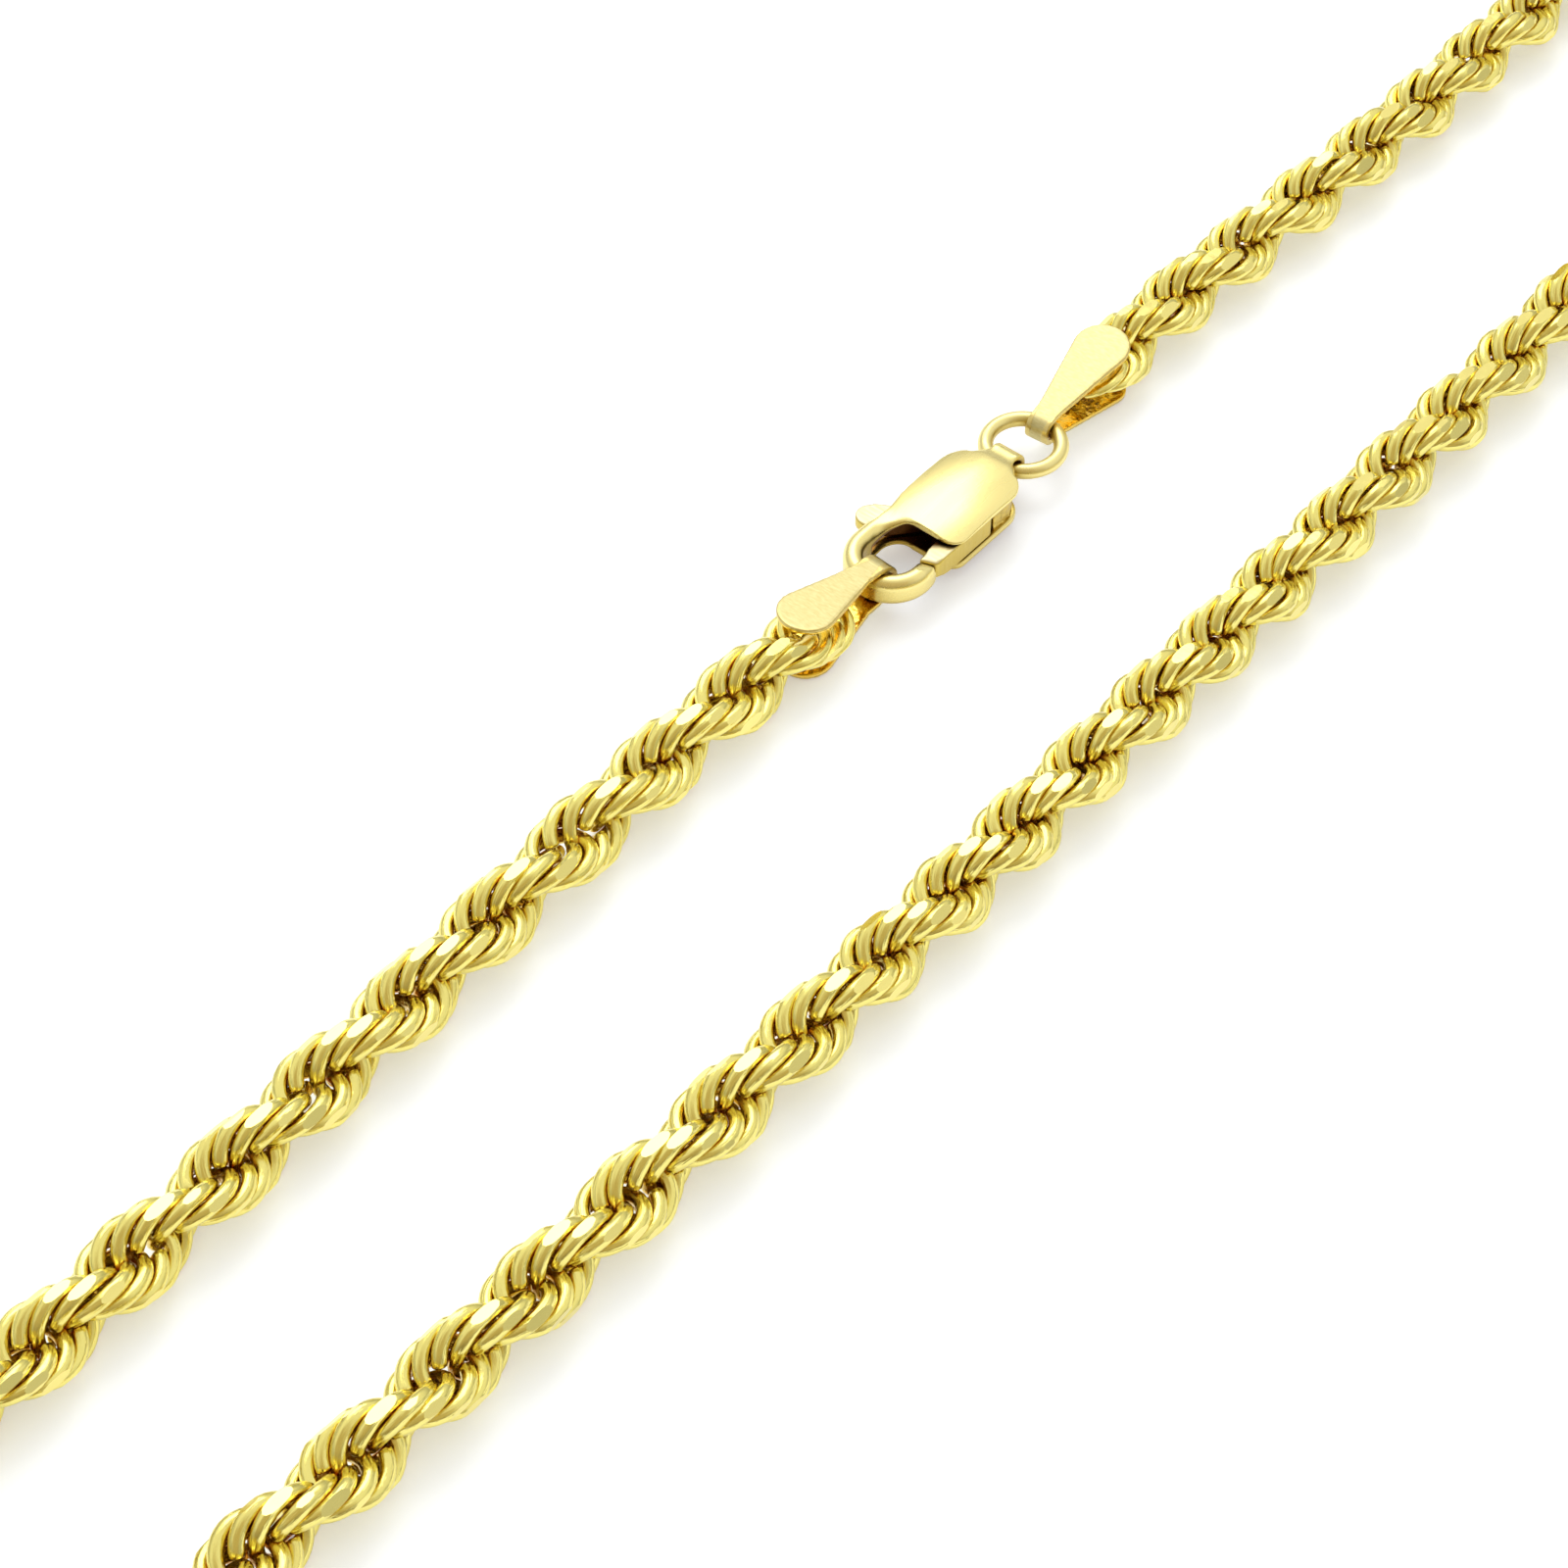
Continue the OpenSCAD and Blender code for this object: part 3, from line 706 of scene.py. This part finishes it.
def sheet_solid(upper, lower):
    """A closed solid between two sheets of points with as many rows and columns."""
    rows, wide = upper.shape[:2]
    count = rows * wide
    cells = [(i * wide + k, i * wide + k + 1, (i + 1) * wide + k + 1, (i + 1) * wide + k)
             for i in range(rows - 1) for k in range(wide - 1)]
    rim = (list(range(wide)) + [i * wide + wide - 1 for i in range(1, rows)]
           + [(rows - 1) * wide + k for k in range(wide - 2, -1, -1)]
           + [i * wide for i in range(rows - 2, 0, -1)])
    faces = cells + [tuple(count + n for n in cell[::-1]) for cell in cells]
    faces += [(b, a, count + a, count + b) for a, b in zip(rim, rim[1:] + rim[:1])]
    solid = bpy.data.meshes.new("worked_in")
    solid.from_pydata(np.concatenate([upper.reshape(-1, 3), lower.reshape(-1, 3)]).tolist(), [], faces)
    return solid


def tapered_rod(stations, sides=20):
    """A closed round rod through stations of (x, y, z, radius), in millimetres."""
    line = smooth_line(np.array(stations) * mm, steps=8)
    ahead = np.gradient(line[:, :3], axis=0)
    ahead /= np.linalg.norm(ahead, axis=1, keepdims=True)
    across = np.cross(ahead, (0, 0, 1))
    across /= np.linalg.norm(across, axis=1, keepdims=True)
    above = np.cross(across, ahead)
    turn = 2 * math.pi * np.arange(sides) / sides
    rings = line[:, None, :3] + line[:, None, 3:] * (
        np.cos(turn)[:, None] * across[:, None] + np.sin(turn)[:, None] * above[:, None])
    faces = [(i * sides + k, i * sides + (k + 1) % sides, (i + 1) * sides + (k + 1) % sides,
              (i + 1) * sides + k) for i in range(len(line) - 1) for k in range(sides)]
    faces += [tuple(range(sides))[::-1], tuple(range((len(line) - 1) * sides, len(line) * sides))]
    solid = bpy.data.meshes.new("worked_in")
    solid.from_pydata(rings.reshape(-1, 3).tolist(), [], faces)
    return solid


def dome_top(x, y):
    """The height of the dome's outer face."""
    return crown[2] - (x - crown[0]) ** 2 / (2 * dome_along) - (y - crown[1]) ** 2 / (2 * dome_across)


# The strap leaves the dome in a pair of shoulders and goes down round the jump ring. Its sides at places
# along it: (x, y of one side, y of the other).
shoulders = np.array([(5.5, 7.2, 9.95), (5.9, 7.1, 10.1), (6.2, 7.25, 10.02), (6.45, 7.62, 9.86),
                      (6.7, 7.8, 9.68), (6.92, 7.86, 9.55)]) * mm
leaves_dome = 5.8 * mm
runs_level = 6.8 * mm
strap_sink = 0.01 * mm
strap_thick = 0.36 * mm
fold_outer = 1.0 * mm
fold_inner = 0.65 * mm
strap_rows = 15
fold_rows = 19
points_across = 13
strap_x = np.linspace(shoulders[0, 0], shoulders[-1, 0], strap_rows)[:, None]
low_y = np.interp(strap_x, shoulders[:, 0], shoulders[:, 1])
high_y = np.interp(strap_x, shoulders[:, 0], shoulders[:, 2])
strap_y = low_y + (high_y - low_y) * np.linspace(0, 1, points_across)
level = np.clip((strap_x - leaves_dome) / (runs_level - leaves_dome), 0, 1)
level = level * level * (3 - 2 * level)
strap_z = (1 - level) * (dome_top(strap_x, strap_y) - strap_sink) + level * (rope_height + fold_outer)
strap_top = np.stack(np.broadcast_arrays(strap_x, strap_y, strap_z), -1)
fold_turn = np.radians(np.linspace(90, -90, fold_rows))[:, None]


def fold_face(radius):
    """One face of the strap's fold round the wire, of that radius."""
    return np.stack(np.broadcast_arrays(strap_x[-1] + radius * np.cos(fold_turn), strap_y[-1],
                                        rope_height + radius * np.sin(fold_turn)), -1)


shoulder_sheet = sheet_solid(strap_top, strap_top - (0, 0, strap_thick))
fold_sheet = sheet_solid(fold_face(fold_outer), fold_face(fold_inner))

# The mouth's lip is thick where it leaves the arm, and thins along the dome's open edge
lip = tapered_rod([(-2.5, 10.72, 2.33, 0.5), (-1.9, 10.62, 2.38, 0.48), (-1.45, 10.35, 2.52, 0.4),
                   (-1.1, 9.95, 2.72, 0.3), (-0.78, 9.5, 2.92, 0.2), (-0.62, 8.9, 3.02, 0.17),
                   (-0.6, 8.0, 3.03, 0.14), (-0.6, 7.2, 2.97, 0.12)])

# Under the arm the slot between the shells runs on towards the hook's bend
pocket_low, pocket_high = np.array([(-2.85, 9.8, 1.1), (-1.7, 11.02, 1.93)]) * mm
bpy.ops.mesh.primitive_cube_add(size=1)
pocket = bpy.context.object
pocket.data.transform(Matrix.Translation((pocket_low + pocket_high) / 2)
                      @ Matrix.Diagonal((*(pocket_high - pocket_low), 1)))

# The space between the shells, whose roof is the dome's inner face, and how softly its edges are marked.
# The gold there is painted dark, as painted shade.
inner_low = np.array([-3.0, 6.75, 1.03]) * mm
inner_high = np.array([2.9, 11.0]) * mm
into_roof = 0.08 * mm
edge_blend = 0.1 * mm


def mark_inside_shade(mesh):
    """Marks which points of a mesh lie between the two shells, where the gold is painted dark as shade."""
    x, y, z = places_in(mesh).T
    roof = dome_top(x, y) - shell_thick + into_roof
    inside = np.ones(len(x))
    for room in (x - inner_low[0], y - inner_low[1], z - inner_low[2],
                 inner_high[0] - x, inner_high[1] - y, roof - z):
        inside *= np.clip(room / edge_blend, 0, 1)
    mark(mesh, "inside", inside)


body = eased_copy("clasp_shells", "clasp_body", voxel=0.056 * mm, rounds=12, true_up=true_clasp,
                  melt=melt_clasp, added=(shoulder_sheet, fold_sheet, lip), pocket=pocket)
mark_inside_shade(body.data)
body.data.materials.append(clasp_polish)
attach(body, "necklace")
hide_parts("clasp_body")

# At the tail a thin cast wall closes the gap between the lower shell and the dome. Its outer face is left
# crinkled from the mould. Its height is given at shares of its length, in millimetres.
wall_line = smooth_line(np.array([
    (3.15, 6.53), (3.7, 6.52), (4.34, 6.52), (4.8, 6.62), (5.18, 6.9), (5.42, 7.24), (5.66, 7.64)]) * mm,
    steps=4)
wall_low = 1.0 * mm
wall_half = 0.12 * mm
wall_rows = 12
wall_heights = np.array([(0, 2.5), (0.35, 2.68), (0.7, 2.82), (1, 2.85)])
crinkle_depths = (-0.07, 0.05)
wall_ahead = np.gradient(wall_line, axis=0)
wall_ahead /= np.linalg.norm(wall_ahead, axis=1, keepdims=True)
wall_out = np.stack([wall_ahead[:, 1], -wall_ahead[:, 0]], -1)
wall_top = np.interp(np.linspace(0, 1, len(wall_line)), wall_heights[:, 0], wall_heights[:, 1]) * mm
wall_up = wall_low + (wall_top[:, None] - wall_low) * np.linspace(0, 1, wall_rows)
crinkles = np.random.default_rng(3).uniform(*crinkle_depths, wall_up.shape) * mm


def wall_face(stand_off):
    """One face of the wall, each of its points that far from the wall's middle."""
    return np.concatenate([wall_line[:, None] + stand_off[..., None] * wall_out[:, None],
                           wall_up[..., None]], -1)


wall = bpy.data.objects.new("clasp_tail_wall", sheet_solid(
    wall_face(0 * crinkles - wall_half), wall_face(wall_half + crinkles)))
shade_smooth(wall.data)
bpy.context.scene.collection.objects.link(wall)
# The wall's recesses are painted a deeper gold, as painted shade
cast_gold = (0.68, 0.50, 0.11)
cast_shade = (0.30, 0.14, 0.015)
clasp_cast, tree, shader = gold("clasp_cast", cast_gold, 0.3)
tarnish_and_shade(tree, shader, cast_gold, cast_shade, reach=0.8 * mm, low=0.1, high=0.7)
raise_by(tree, noise(tree, 5000, detail=3), 0.03 * mm, shader)
wall.data.materials.append(clasp_cast)
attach(wall, "necklace")


# The lever is one stamping between the shells, on the rivet: its nose closes the hook and its thumb tab
# opens it against a spring. Its edges keep the marks of the brush. Its gold is painted darker than the
# clasp's: painted shade, standing in for the shaded table that its sides reflect, and near black where it
# is hidden between the shells. Its upper faces are filed, and are painted paler where they look up: painted
# light from above.
lever_shaded_gold = (0.69, 0.53, 0.12)
filed_and_lit_gold = (0.70, 0.60, 0.33)
lever_shade = (0.08, 0.03, 0.006)
lever_brushed, tree, shader = gold("lever_brushed", lever_shaded_gold, 0.3)
tarnish_and_shade(tree, shader, mix_tones(tree, measure(tree, "filed"), lever_shaded_gold, filed_and_lit_gold), lever_shade,
        reach=1.2 * mm, low=0.1, high=0.5, inner="inside")
brush_marks = noise(tree, 6000, detail=3, stretch=(1, 0.1, 0.1), turn=(0, 0.6, 0))
vary(tree, brush_marks, low=0.25, high=0.5, socket=shader.inputs["Roughness"])
edge_marks = noise(tree, 6000, detail=3, stretch=(0.1, 0.1, 1), turn=(0, 0.5, 0))
raise_by(tree, edge_marks, 0.012 * mm, shader)
gate_root = -1.5 * mm
gate_blend = 0.4 * mm
gate_ease = 0.6
filed_and_lit_from = 0.7             # of facing straight up
filed_and_lit_fade = 0.2


def melt_gate(points):
    """The gate's end is filed a little round, to meet the hook's."""
    return gate_ease * np.clip((gate_root - points[:, 0]) / gate_blend, 0, 1)


lever = eased_copy("lever_stamping", "clasp_lever", voxel=0.05 * mm, rounds=9, melt=melt_gate)
# Faces that look up are painted the paler filed tone: partly a filed finish, partly painted light from above
facing_up = places_in(lever.data, "normal")[:, 2]
mark(lever.data, "filed", np.clip((facing_up - filed_and_lit_from) / filed_and_lit_fade, 0, 1))
mark_inside_shade(lever.data)
lever.data.materials.append(lever_brushed)
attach(lever, "lever")
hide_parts("clasp_lever")


# The table is a plain pale board that the necklace lies on. It glows a little, as lit paper does, so that
# the shadows on it stay soft and pale. Its face is a hair low, clear of the links that have settled.
board_drop = 0.03 * mm
bpy.ops.mesh.primitive_plane_add(size=3, location=(0, 0, -board_drop))
table = bpy.context.object
table.name = "table_top"
table_white = bpy.data.materials.new("table_white")
table_white.use_nodes = True
table_shader = table_white.node_tree.nodes["Principled BSDF"]
table_shader.inputs["Base Color"].default_value = (0.84, 0.89, 0.97, 1)
table_shader.inputs["Roughness"].default_value = 0.9
table_shader.inputs["Emission Color"].default_value = (1, 1, 1, 1)
table_shader.inputs["Emission Strength"].default_value = 0.36
table.data.materials.append(table_white)


# One broad soft lamp stands above the clasp's side of the table, turned towards the necklace's middle. It
# is a square soft box, 38 cm wide, and gives the gold its streaks of light and the necklace its shadow.
def turned_towards(aim, place):
    """The turn of a lamp or a camera that stands at a place and looks at the aim."""
    return (aim - place).to_track_quat("-Z", "Y").to_euler()


lamp = bpy.data.lights.new("top_light", "AREA")
lamp.shape = "SQUARE"
lamp.size = 0.38
lamp.energy = 0.95
lamp_stand = bpy.data.objects.new("top_light", lamp)
lamp_stand.location = (0.18, 0.26, 0.424)
lamp_stand.rotation_euler = turned_towards(Vector((0, 0, 0)), lamp_stand.location)
bpy.context.scene.collection.objects.link(lamp_stand)

# A white tent round the table gives the rest of the light. It is darker low down, and warmer and darker
# round its opening, which is on the side that the photograph was taken from.
tent_white = (1, 1, 1)
opening_tone = (0.60, 0.50, 0.34)
opening_way = (-0.628, -0.525, 0.574)
opening_edge = math.cos(math.radians(60))
opening_core = math.cos(math.radians(20))
world = bpy.data.worlds.new("studio")
bpy.context.scene.world = world
world.use_nodes = True
tree = world.node_tree
tent = tree.nodes["Background"]
towards = tree.nodes.new("ShaderNodeTexCoord").outputs["Generated"]
split = tree.nodes.new("ShaderNodeSeparateXYZ")
tree.links.new(towards, split.inputs["Vector"])
strength = ramp(tree, split.outputs["Z"], start=0.1, end=0.6, low=0.5, high=0.95, easing="SMOOTHSTEP")
facing = tree.nodes.new("ShaderNodeVectorMath")
facing.operation = "DOT_PRODUCT"
facing.inputs[1].default_value = opening_way
tree.links.new(towards, facing.inputs[0])
opening = ramp(tree, facing.outputs["Value"], opening_edge, opening_core, easing="SMOOTHSTEP")
feed(tree, mix_tones(tree, opening, tent_white, opening_tone), tent.inputs["Color"])
feed(tree, strength, tent.inputs["Strength"])
bpy.context.scene.view_settings.view_transform = "Standard"

# The camera looks down at 49 degrees and across the strands at a slant, as in the photograph. Half the
# frame is 800 pixels wide, and the lens is 3763 of the same pixels long.
half_frame = 800
lens_length = 3763
aim = Vector((-17.97, 3.99, 0)) * mm
heading = math.radians(39.9)
elevation = math.radians(49)
distance = 195 * mm
camera_data = bpy.data.cameras.new("camera")
camera_data.angle = 2 * math.atan(half_frame / lens_length)
camera_data.clip_start = 5 * mm
camera = bpy.data.objects.new("camera", camera_data)
camera.location = aim + distance * Vector((
    -math.cos(heading) * math.cos(elevation), -math.sin(heading) * math.cos(elevation),
    math.sin(elevation)))
camera.rotation_euler = turned_towards(aim, camera.location)
bpy.context.scene.collection.objects.link(camera)
bpy.context.scene.camera = camera
